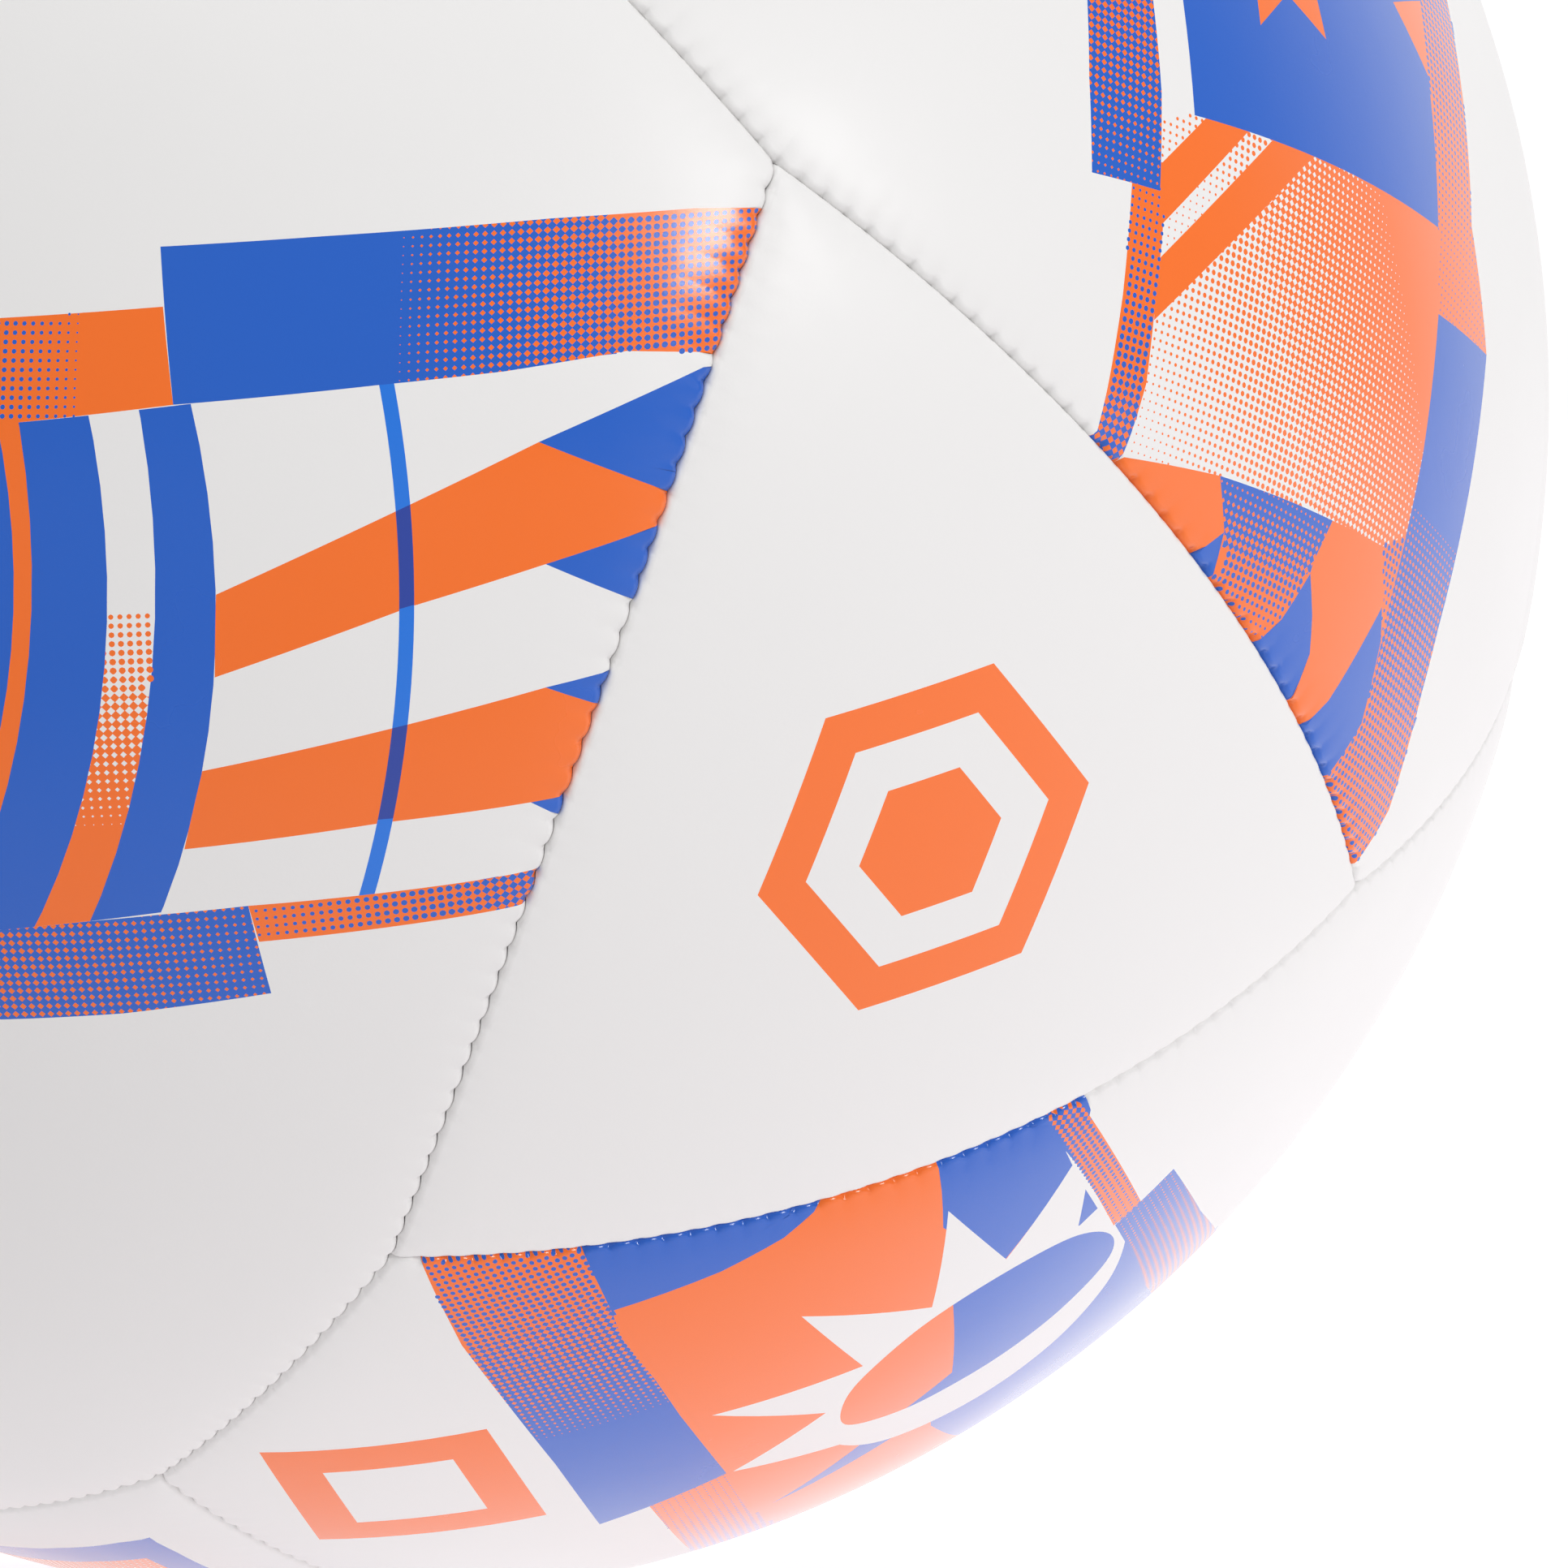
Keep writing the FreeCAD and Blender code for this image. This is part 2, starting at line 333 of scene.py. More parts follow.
def smooth(points, steps=8):
    """A closed curve through the points."""
    curve = []
    count = len(points)
    for index in range(count):
        a, b, c, d = (np.array(points[(index + k) % count], float) for k in (-1, 0, 1, 2))
        for step in range(steps):
            t = step / steps
            square = (2 * a - 5 * b + 4 * c - d) * t ** 2
            cube = (3 * b - a - 3 * c + d) * t ** 3
            curve.append(tuple((2 * b + (c - a) * t + square + cube) / 2))
    return curve


def disc(centre, radius, count=96):
    """A circle as a polygon."""
    turns = [2 * math.pi * index / count for index in range(count)]
    return [(centre[0] + radius * math.cos(t), centre[1] + radius * math.sin(t)) for t in turns]


def circle_through(*points):
    """The centre and radius of the circle through three points."""
    points = np.array(points, float)
    sides = np.column_stack([2 * points, np.ones(3)])
    x, y, rest = np.linalg.solve(sides, (points ** 2).sum(axis=1)).tolist()
    return (x, y), math.sqrt(rest + x ** 2 + y ** 2)


def arc_band(centre, radius, width, start, end, count=24):
    """A thin band along an arc, from one angle to another in degrees."""
    turns = [math.radians(start + (end - start) * index / count) for index in range(count + 1)]
    outer = [(radius + width / 2, t) for t in turns]
    inner = [(radius - width / 2, t) for t in reversed(turns)]
    return [(centre[0] + r * math.cos(t), centre[1] + r * math.sin(t)) for r, t in outer + inner]


def keep_side(polygon, point, direction):
    """The part of a polygon on the side of the point that the direction faces."""
    kept = []
    for index, here in enumerate(polygon):
        before = polygon[index - 1]
        run = (here[0] - before[0], here[1] - before[1])
        a = (before[0] - point[0]) * direction[0] + (before[1] - point[1]) * direction[1]
        b = (here[0] - point[0]) * direction[0] + (here[1] - point[1]) * direction[1]
        if (a < 0) != (b < 0):
            share = a / (a - b)
            kept.append((before[0] + run[0] * share, before[1] + run[1] * share))
        if b >= 0:
            kept.append(here)
    return kept


def keep_inside(polygon, convex):
    """The part of a polygon inside a convex one that runs anticlockwise."""
    for index, here in enumerate(convex):
        before = convex[index - 1]
        inward = (before[1] - here[1], here[0] - before[0])
        polygon = keep_side(polygon, before, inward)
    return polygon


def inside(polygon, x, y):
    """Which points lie inside a polygon."""
    hit = np.zeros(len(x), bool)
    for index, (x2, y2) in enumerate(polygon):
        x1, y1 = polygon[index - 1]
        crosses = (y1 > y) != (y2 > y)
        with np.errstate(divide="ignore", invalid="ignore"):
            edge = x1 + (y - y1) * (x2 - x1) / (y2 - y1)
        hit ^= crosses & (x < edge)
    return hit


def outline_distance(polygon, x, y):
    """How far each point is from a polygon's outline."""
    nearest = np.full(len(x), np.inf)
    for (start_x, start_y), (end_x, end_y) in zip(polygon, polygon[1:] + polygon[:1]):
        run_x, run_y = end_x - start_x, end_y - start_y
        length = max(run_x ** 2 + run_y ** 2, TINY)
        share = np.clip(((x - start_x) * run_x + (y - start_y) * run_y) / length, 0, 1)
        nearest = np.minimum(nearest, np.hypot(x - start_x - share * run_x, y - start_y - share * run_y))
    return nearest


def trimmed(square, polygon):
    """The part of a small square inside a polygon, cut along the sides that pass through it."""
    corners = np.array(square)
    middle = corners.mean(axis=0, keepdims=True)
    reach = float(np.hypot(*(corners - middle).T).max())
    if outline_distance(polygon, *middle.T)[0] >= reach:
        return square if inside(polygon, *middle.T)[0] else []
    way = math.copysign(1, doubled_area(polygon))
    for start, end in zip(polygon, polygon[1:] + polygon[:1]):
        if len(square) > 2 and outline_distance([start, end], *middle.T)[0] < reach:
            square = keep_side(square, start, ((start[1] - end[1]) * way, (end[0] - start[0]) * way))
    return square


def screen_points(polygon, shift, margin=0.0):
    """The halftone screen's points inside a polygon, or no further outside it than the margin."""
    corners = np.array(polygon)
    low = (corners.min(axis=0) - margin) / SCREEN_HALF
    high = (corners.max(axis=0) + margin) / SCREEN_HALF
    columns = np.arange(math.floor(low[0]), math.ceil(high[0]) + 1)
    rows = np.arange(math.floor(low[1]), math.ceil(high[1]) + 1)
    grid_x, grid_y = np.meshgrid(columns, rows)
    keep = (grid_x + grid_y) % 2 == shift
    x, y = grid_x[keep] * SCREEN_HALF, grid_y[keep] * SCREEN_HALF
    hit = inside(polygon, x, y) | (outline_distance(polygon, x, y) < margin)
    return x[hit], y[hit]


def halftone(polygon, back, ink, start, end, ink_start, ink_end, ease=1.0):
    """A fade between two colours: the ink covers ink_start of the area at one point and ink_end at
    another. Below half, it is round dots; above half, the back shows through as small squares."""
    run = (end[0] - start[0], end[1] - start[1])
    span = run[0] ** 2 + run[1] ** 2

    def cover(x, y):
        share = ((x - start[0]) * run[0] + (y - start[1]) * run[1]) / span
        return ink_start + (ink_end - ink_start) * np.clip(share, 0, 1) ** ease

    half_share = ((0.5 - ink_start) / (ink_end - ink_start)) ** (1 / ease)
    half_point = (start[0] + run[0] * half_share, start[1] + run[1] * half_share)
    way = math.copysign(SCREEN_PITCH / math.sqrt(span), ink_end - ink_start)
    full_side = (run[0] * way, run[1] * way)
    solid_start = (half_point[0] + full_side[0], half_point[1] + full_side[1])
    shapes = [(back, polygon)]
    solid = keep_side(polygon, solid_start, full_side)
    if len(solid) > 2:
        shapes.append((ink, solid))
    x, y = screen_points(polygon, 0)
    past = ((x - half_point[0]) * full_side[0] + (y - half_point[1]) * full_side[1]) / SCREEN_PITCH ** 2
    joins = (cover(x, y) >= 0.5) & (past < JOINED_REACH)
    shapes += [(ink, disc(centre, SCREEN_HALF, 4)) for centre in zip(x[joins], y[joins])]
    shapes += screen_dots(x, y, cover(x, y), ink, DOT_SIDES, MOST_DOT)
    x, y = screen_points(polygon, 1, SCREEN_HALF)
    bare = 1 - cover(x, y)
    border = outline_distance(polygon, x, y) < SCREEN_HALF
    shapes += screen_dots(x[~border], y[~border], bare[~border], back, 4, MOST_SQUARE)
    for colour, square in screen_dots(x[border], y[border], bare[border], back, 4, MOST_SQUARE):
        square = trimmed(square, polygon)
        if len(square) > 2:
            shapes.append((colour, square))
    return shapes


def screen_dots(x, y, cover, colour, sides, most):
    """One small polygon at each screen point whose colour covers less of the area than the most
    given. Squares stand with their corners towards their neighbours."""
    area = SCREEN_PITCH ** 2 * cover
    shape = 0.5 * sides * math.sin(2 * math.pi / sides)
    radius = np.sqrt(np.maximum(area, 0) / shape)
    chosen = (cover < most) & (radius > SMALLEST_DOT)
    turns = [math.pi / 4 + 2 * math.pi * index / sides for index in range(sides)]
    around = [(math.cos(t), math.sin(t)) for t in turns]
    return [
        (colour, [(cx + r * dx, cy + r * dy) for dx, dy in around])
        for cx, cy, r in zip(x[chosen], y[chosen], radius[chosen])
    ]


# ---- the prints, each a list of (colour, polygon), later ones over earlier ones

def rings_print():
    """Rings, rays and two stepped bands, over the first pair of large panels."""
    lane = [(-62, -62), (-18, -16), (19, 27.8), (36, 47), (36, 62), (3, 68.6), (-6, 57.8), (-62, -10)]
    shapes = []
    rings = [
        (*circle_through((2.4, 67.7), (22, 48.1), (27, 37)), BLUE),
        (*circle_through((-0.2, 64.8), (15, 50.3), (23.4, 33.2)), WHITE),
        (*circle_through((-2.6, 61.9), (10, 51), (20.6, 30)), BLUE),
        (*circle_through((-6, 57.8), (0, 53.2), (13, 35.3)), ORANGE),
        (*circle_through((-6.5, 56.2), (0, 51.3), (9, 40)), BLUE),
        ((-30, 18), 31, ORANGE),
        ((-30, 18), 28.5, BLUE),
        ((-30, 18), 16, WHITE),
    ]
    fade_start = (9.9, 53.4)
    for number, (centre, radius, colour) in enumerate(rings):
        ring = keep_inside(disc(centre, radius), lane)
        shapes.append((colour, ring))
        if number == 1:
            fading = keep_side(ring, fade_start, (1, -1))
            shapes += halftone(fading, WHITE, ORANGE, fade_start, (21.5, 41.8), 0.24, 1.0)
    ray_high = [(17.9, 54.2), (25.2, 67.5), (30.8, 76.1), (38.0, 87.0), (36.0, 88.5), (23.8, 82.7),
                (13.7, 58.9)]
    ray_low = [(25, 42.4), (35, 53.4), (42.7, 61), (47.5, 65.5), (45, 71.0), (37.4, 68.8), (22, 48.1)]
    shapes.append((ORANGE, ray_high))
    shapes.append((ORANGE, ray_low))
    shapes.append((BLUE, [(23.8, 82.7), (38, 87.1), (33, 98), (29.7, 94.9)]))
    shapes.append((BLUE, [(30.8, 76.1), (41.5, 78.8), (40, 88), (38.0, 87.0)]))
    shapes.append((BLUE, [(37.4, 68.8), (45, 71.0), (43, 75.5)]))
    shapes.append((BLUE, [(42.7, 61), (48.2, 61.6), (49, 66.5), (47.5, 65.5)]))
    arc = arc_band(*circle_through((12, 78.5), (19.8, 72.4), (37.5, 48.5)), 1.1, 57, 24)
    shapes.append((AZURE, arc))
    shapes.append((DEEP, keep_inside(arc, ray_high)))
    shapes.append((DEEP, keep_inside(arc, ray_low)))
    narrow_top = [(-4.5, 71.2), (-12.6, 62), (-64, 4), (-58, -8), (-6, 57.8), (1.4, 66.8)]
    shapes += halftone(narrow_top, ORANGE, BLUE, (-8, 66), (-45, 24), 0.0, 0.9, 0.6)
    wide_top = [(1.4, 66.8), (11.5, 78), (18, 85), (24, 92), (28.5, 95.5), (34, 99), (28, 110.5),
                (20, 103.5), (12, 95.5), (0, 82.7), (-8, 74)]
    shapes += halftone(wide_top, ORANGE, BLUE, (8, 83.5), (27, 102.5), 1.0, 0.25, 0.85)
    narrow_low = [(31.5, 41.8), (34, 39.9), (48.6, 54.6), (51, 57), (50, 60), (47.3, 57.3)]
    shapes += halftone(narrow_low, ORANGE, BLUE, (33, 41), (48.5, 56), 0.1, 0.62)
    wide_low = [(31.5, 41.8), (27, 37), (23.4, 33), (19, 27.8), (-22, -22), (-60, -66), (-56, -72),
                (-16, -27), (23.4, 21.3), (30, 28.3), (37.4, 36.9)]
    shapes += halftone(wide_low, ORANGE, BLUE, (34, 39), (0, 0), 0.9, 0.28)
    return shapes


def burst_print():
    """A zigzag burst beside an oval, between two stepped bands, over the second pair."""
    shapes = []
    shapes.append((ORANGE, [(-3, 69), (-8, 60), (-20, 46), (-58, 0), (-48, -20), (10, 30), (30, 41),
                            (46, 56), (46, 60), (38, 79), (23, 94), (8, 80)]))
    shapes.append((BLUE, [(23.4, 91.5), (30, 84), (34.5, 79.8), (39, 77), (36, 97), (30, 100),
                          (21, 93)]))
    shapes.append((BLUE, [(35.6, 64.3), (44.5, 68.2), (51, 55), (47, 52.5), (40.8, 52.2),
                          (30.3, 54.9)]))
    burst = [(-0.2, 66.8), (9.9, 63.2), (10.2, 75.4), (17.3, 63.6), (24.9, 74), (25.1, 60.4),
             (37.6, 64.6), (30.3, 54.8), (41, 52.3), (43, 54), (34, 44), (20, 45), (3, 57)]
    shapes.append((WHITE, burst))
    shapes.append((BLUE, [(32.5, 47.4), (37.5, 49.1), (34.4, 46)]))
    shapes.append((BLUE, [(-10, 55), (2.5, 53.8), (2, 49.8)]))
    shapes.append((BLUE, [(2, 45), (8, 50), (30, 46), (33, 43.5), (28, 37), (15, 25.5), (-22, -18),
                          (-50, -38), (-46, -20), (-16, 22)]))
    shapes.append((WHITE, smooth([(1.8, 50), (3, 57), (7, 62), (16, 63), (25, 59), (31.6, 50), (33, 44),
                                  (31, 40.6), (26, 37.6), (20, 36.2), (12, 37.4), (5.5, 42.2)])))
    oval = smooth([(15.5, 62.5), (10.5, 61.8), (7, 58.8), (8, 53.4), (11, 49), (15, 44.7), (20, 41.2),
                   (26, 39.4), (30, 42), (31.2, 47.6), (28, 54.5), (22.5, 60)])
    shapes.append((BLUE, oval))
    shapes.append((ORANGE, keep_inside(oval, [(7, 53.3), (13.5, 51), (26, 58.6), (18, 66), (2, 64)])))
    narrow_top = [(-7.3, 71), (-20, 57.5), (-27, 50), (-64, 4), (-58, -6), (-20, 46), (-8, 60),
                  (-0.5, 67.3)]
    shapes += halftone(narrow_top, ORANGE, BLUE, (-8, 64), (-40, 30), 0.06, 0.9)
    wide_top = [(-0.5, 67.3), (10, 78.5), (15, 83.5), (20, 89), (23.4, 91.5), (31.5, 98), (26, 110.5),
                (20, 105.7), (15, 101.5), (9.5, 95.5), (0, 85.2), (-11.7, 73.3)]
    shapes += halftone(wide_top, ORANGE, BLUE, (8, 84), (27, 103), 1.0, 0.25, 0.85)
    narrow_low = [(31, 42), (33, 39.5), (47.5, 53.5), (51, 57), (50, 60), (46.5, 57)]
    shapes += halftone(narrow_low, ORANGE, BLUE, (33, 41), (48, 55), 0.12, 0.6)
    wide_low = [(31, 41.8), (15, 25.5), (-22, -18), (-60, -62), (-56, -68), (-16, -24), (26, 26),
                (36.2, 37)]
    shapes += halftone(wide_low, ORANGE, BLUE, (33, 39), (2, 8), 0.95, 0.3)
    diamond = (-10, 94)
    shapes.append((ORANGE, disc(diamond, 14, 4)))
    shapes.append((WHITE, disc(diamond, 8, 4)))
    return shapes


def stripes_print():
    """A fading field with stripes and leaves, between two stepped bands, over the third pair."""
    shapes = []
    shapes.append((ORANGE, [(26, 73.5), (38, 63), (46.5, 56.3), (50, 57), (46, 67), (42, 79), (36, 90),
                            (34, 98), (24, 94), (14, 84), (12, 80), (19.5, 79)]))
    field = [(-2.4, 60), (25, 38.2), (33, 41.5), (46.5, 56.3), (38, 63), (26, 73.6), (19.5, 79),
             (16.5, 81.5), (13, 82), (-1, 67)]
    shapes += halftone(field, WHITE, ORANGE, (7, 62), (43, 55), 1.0, 0.04)
    shapes.append((WHITE, [(11, 46.8), (25, 38.2), (33, 41.5), (38.2, 48.3)]))
    corner_patch = [(24, 39), (25, 38.2), (28.5, 36.5), (33, 41.5)]
    shapes += halftone(corner_patch, WHITE, ORANGE, (24, 39), (31, 39), 0.18, 0.09)
    shapes.append((ORANGE, [(10, 47.1), (15, 43.8), (36, 45.2), (38.7, 48.8)]))
    gap_stripe = [(15, 43.8), (17, 41.8), (34, 43.2), (36, 45.2)]
    shapes += halftone(gap_stripe, WHITE, ORANGE, (20, 43), (28, 43.5), 0.34, 0.05)
    shapes.append((ORANGE, [(17, 41.85), (21, 38.8), (31, 39.4), (34, 43.2)]))
    shapes.append((BLUE, [(-2.4, 60), (-11, 49.5), (-16.5, 44), (-58, -4), (-48, -24), (5, 12),
                          (19.5, 30.6), (25, 38.2)]))
    shapes.append((ORANGE, [(-11, 49.5), (-10, 42.3), (-16.5, 44)]))
    shapes.append((ORANGE, [(4.5, 40.7), (3, 37.8), (-4, 26), (8, 28), (6.5, 36.3)]))
    shapes.append((ORANGE, [(12.3, 36.2), (7.8, 35.8), (4, 28), (10, 26), (11, 34.5)]))
    narrow_top = [(-7, 73), (-10, 62.5), (-24, 46), (-64, 2), (-58, -8), (-16.5, 44), (-10, 50.5),
                  (-2.4, 60), (2, 66)]
    shapes += halftone(narrow_top, ORANGE, BLUE, (-6, 64), (-34, 32), 0.06, 0.9)
    small = [(14, 80.5), (19.3, 79.2), (20.6, 84.2), (21.6, 87.4), (19, 86)]
    shapes += halftone(small, ORANGE, BLUE, (18, 80), (21, 86), 0.42, 0.12)
    wide_top = [(2, 66), (10, 75), (15, 80), (20, 85.5), (25, 92.8), (34, 97), (28, 110), (24, 107.5),
                (19, 104.5), (13.5, 95.5), (10, 91), (0, 80.5), (-7, 73)]
    shapes += halftone(wide_top, ORANGE, BLUE, (8.5, 82.5), (27, 101), 1.0, 0.3, 0.7)
    narrow_low = [(31.5, 41), (34.5, 39), (40.5, 45.5), (45, 50), (48, 53), (51, 53.5), (50, 58.5),
                  (46.5, 56), (42, 52.5), (38.5, 48.5)]
    shapes += halftone(narrow_low, ORANGE, BLUE, (33, 40), (48, 55), 0.08, 0.62)
    wide_low = [(32.3, 41), (27, 35), (22.5, 29), (-14, -12), (-50, -54), (-44, -60), (-6, -16),
                (28.8, 25.8), (33, 30.5), (37.6, 36.3)]
    shapes += halftone(wide_low, ORANGE, BLUE, (34, 39), (17, 21), 0.93, 0.27)
    shapes.append((BLUE, [(20.5, 84), (25, 86), (30, 88), (36.5, 88.8), (34, 97), (30, 95.2),
                          (25, 92.8), (21.2, 87)]))
    shapes.append((ORANGE, [(20.2, 84), (19.5, 79), (26, 73.5), (30, 75.5), (31, 79.5), (32, 82.5),
                            (37, 87), (36, 89), (30, 88), (25, 86)]))
    shapes.append((BLUE, [(30.3, 76), (35, 77.7), (42, 78.5), (37, 87.5), (32, 82.5), (31, 79.5)]))
    patch = [(26, 73.5), (38, 63), (39.2, 67), (40, 69.5), (44.5, 71.5), (41.5, 78.7), (36, 77.7),
             (33, 77), (29, 75)]
    shapes += halftone(patch, ORANGE, BLUE, (32, 68.2), (39.5, 76.7), 0.97, 0.02)
    shapes.append((BLUE, [(41.5, 70), (39.3, 67.3), (46, 67), (44.5, 71.5)]))
    shapes.append((ORANGE, [(38, 63), (46.5, 56.3), (50, 57), (46, 67.3), (39.3, 67.3)]))
    return shapes


def hexagon_print():
    """A plain hexagon inside a hexagonal ring."""
    centre = (1, 0.5)
    sizes = ((ORANGE, 14.5), (WHITE, 10.6), (ORANGE, 6.2))
    return [(colour, disc(centre, radius, 6)) for colour, radius in sizes]


def inset_print(panel):
    """A triangular patch a little in from the panel's seams, bordered in blue."""
    border = [tuple(p) for p in panel.flat(panel.outline(8.0, 3.0))]
    inner = [tuple(p) for p in panel.flat(panel.outline(12.0, 3.0))]
    shapes = [(BLUE, border)]
    shapes += halftone(inner, WHITE, ORANGE, (0, 14), (0, -14), 0.9, 0.1)
    return shapes


# ---- from shapes to a mesh

def subdivided(polygon, step):
    """The polygon's points with more on its long edges."""
    points = []
    for index, end in enumerate(polygon):
        start = polygon[index - 1]
        run = (end[0] - start[0], end[1] - start[1])
        count = max(1, math.ceil(math.hypot(*run) / step))
        points += [(start[0] + run[0] * i / count, start[1] + run[1] * i / count) for i in range(count)]
    return points


def guide_points(panel, step):
    """Points inside the panel for a smooth mesh: rows beside the seams and a grid between them."""
    rows = [panel.flat(panel.outline(gap, EDGE_STEP * (1 + gap / 2))) for gap in EDGE_ROWS]
    limit = int((GRID_REACH + 5) / step)
    row_height = step * 0.866
    grid = np.array([(step * (i + 0.5 * (j % 2)), row_height * j)
                     for i in range(-limit, limit + 1) for j in range(-limit, limit + 1)])
    grid = grid[np.hypot(grid[:, 0], grid[:, 1]) < GRID_REACH]
    grid = grid[panel.gap(panel.round(grid)) > EDGE_ROWS[-1] + 0.8]
    return np.concatenate(rows + [grid])


def doubled_area(polygon):
    """Twice the polygon's area, positive if it runs anticlockwise."""
    pairs = zip(polygon, polygon[1:] + polygon[:1])
    return sum(a[0] * b[1] - b[0] * a[1] for a, b in pairs)


def top_shape(sources, boxes, point):
    """The last of the shapes a triangle came from whose box holds the point."""
    for number in sorted(sources, reverse=True):
        low_x, low_y, high_x, high_y = boxes[number]
        if low_x <= point[0] <= high_x and low_y <= point[1] <= high_y:
            return number
    return 0


def flat_mesh(outline, shapes, extra, step):
    """The outline filled with triangles that follow every shape's edge.
    Returns the points, the triangles, and each triangle's colour."""
    points, faces, colours, boxes = [], [], [], []
    for colour, polygon in [(WHITE, outline)] + shapes:
        doubled = doubled_area(polygon)
        if abs(doubled) < SLIVER:
            continue
        polygon = polygon if doubled > 0 else polygon[::-1]
        polygon = subdivided(polygon, step) if faces else polygon
        faces.append(list(range(len(points), len(points) + len(polygon))))
        colours.append(colour)
        boxes.append((min(x for x, _ in polygon), min(y for _, y in polygon),
                      max(x for x, _ in polygon), max(y for _, y in polygon)))
        points += polygon
    points = [Vector(p) for p in points] + [Vector(p) for p in extra]
    found, _, triangles, _, _, origins = delaunay_2d_cdt(points, [], faces, 1, MERGE_DISTANCE, True)
    flat = np.array([tuple(p) for p in found])
    middles = flat[np.array(triangles)].mean(axis=1).tolist()
    kept = [(face, top_shape(sources, boxes, middle))
            for face, sources, middle in zip(triangles, origins, middles) if 0 in sources]
    kept = [(face, colours[top]) for face, top in kept if colours[top] != HOLE]
    triangles = np.array([face for face, _ in kept])
    return flat, triangles, np.array([colour for _, colour in kept])


def loose_edges(triangles):
    """The edges used by one triangle only, as (start, end, triangle), in that triangle's order."""
    edges = {}
    for number, (a, b, c) in enumerate(triangles.tolist()):
        for start, end in ((a, b), (b, c), (c, a)):
            if (end, start) in edges:
                del edges[(end, start)]
            else:
                edges[(start, end)] = number
    return [(start, end, number) for (start, end), number in edges.items()]


def cover_mesh(panel, shapes):
    """A closed shell for one panel: printed skin, turned edges and underside."""
    outline = [tuple(p) for p in panel.flat(panel.outline(LIP_GAP, EDGE_STEP))]
    extra = guide_points(panel, GRID_STEP)
    if panel.has_valve:
        shapes = shapes + [(HOLE, valve_ring(panel, VALVE_HOLE, HOLE_SIDES))]
        rims = [valve_ring(panel, VALVE_HOLE + width, RIM_SIDES) for width in RIM_ROWS]
        extra = np.concatenate([extra] + [np.array(rim) for rim in rims])
    flat, triangles, colours = flat_mesh(outline, shapes, extra, PRINT_STEP)
    used, inverse = np.unique(triangles, return_inverse=True)
    flat, triangles = flat[used], inverse.reshape(-1, 3)
    points = panel.round(flat)
    vertices = [points * skin_radius(panel, points)[:, None]]
    normals = [skin_normals(panel, points)]
    polygons = triangles.tolist()
    paints = colours.tolist()
    edges = loose_edges(triangles)
    rim = sorted({start for start, _, _ in edges})
    place = {vertex: index for index, vertex in enumerate(rim)}
    rim_points = points[rim]
    at_valve = (valve_distance(rim_points) < VALVE_HOLE + 0.3) & panel.has_valve
    base_of = {vertex: vertex for vertex in rim}
    count = len(flat)
    for gap, radius in FLANGE_LOOPS:
        loop = panel.inset(rim_points, gap)
        loop[at_valve] = rim_points[at_valve]
        radii = np.where(at_valve, max(radius, SKIN_UNDERSIDE), radius)
        vertices.append(loop * radii[:, None])
        normals.append(loop)
        next_of = {vertex: count + place[vertex] for vertex in rim}
        for start, end, number in edges:
            polygons.append([base_of[end], base_of[start], next_of[start], next_of[end]])
            paints.append(int(colours[number]))
        base_of = next_of
        count += len(rim)
    under_flat, under = underside(panel)
    vertices.append(panel.round(under_flat) * SKIN_UNDERSIDE)
    normals.append(-panel.round(under_flat))
    polygons += (under[:, ::-1] + count).tolist()
    paints += [len(COLOURS)] * len(under)
    return np.concatenate(vertices), np.concatenate(normals), polygons, paints


def valve_ring(panel, radius, count):
    """A circle round the valve, laid flat with its panel."""
    turns = np.arange(count) * 2 * math.pi / count
    height = math.sqrt(RADIUS ** 2 - radius ** 2)
    ring = np.stack([radius * np.cos(turns), radius * np.sin(turns), np.full(count, height)], axis=-1)
    return [tuple(p) for p in panel.flat(ring / RADIUS @ LAYOUT)]


def underside(panel):
    """The back of the skin inside the turned edges, as flat points and triangles."""
    outline = [tuple(p) for p in panel.flat(panel.outline(UNDERSIDE_GAP, 2.0))]
    grid = guide_points(panel, UNDERSIDE_STEP)
    grid = grid[panel.gap(panel.round(grid)) > 4.0]
    hole = [(HOLE, valve_ring(panel, VALVE_HOLE, HOLE_SIDES))] if panel.has_valve else []
    flat, triangles, _ = flat_mesh(outline, hole, grid, 4.0)
    return flat, triangles


def mesh_object(name, vertices, normals, polygons, paints, materials):
    """A mesh object in metres with its own normals and a material for each face."""
    mesh = bpy.data.meshes.new(name)
    mesh.from_pydata((vertices @ LAYOUT.T * MM).tolist(), [], polygons)
    for material in materials:
        mesh.materials.append(material)
    mesh.polygons.foreach_set("material_index", np.array(paints, dtype=np.int32))
    mesh.polygons.foreach_set("use_smooth", np.ones(len(polygons), dtype=bool))
    mesh.validate()
    mesh.normals_split_custom_set_from_vertices((normals @ LAYOUT.T).tolist())
    made = bpy.data.objects.new(name, mesh)
    bpy.context.scene.collection.objects.link(made)
    return made


# ---- materials

def new_material(name, colour, roughness):
    """A material with its node tree, its main shader, and the colour and roughness set."""
    material = bpy.data.materials.new(name)
    material.use_nodes = True
    shader = material.node_tree.nodes["Principled BSDF"]
    shader.inputs["Base Color"].default_value = (*colour, 1)
    shader.inputs["Roughness"].default_value = roughness
    return material, shader


def linear(red, green, blue):
    """A screen colour, 0 to 255, as linear light."""
    shares = [value / 255 for value in (red, green, blue)]
    return tuple(s / 12.92 if s <= 0.04045 else ((s + 0.055) / 1.055) ** 2.4 for s in shares)


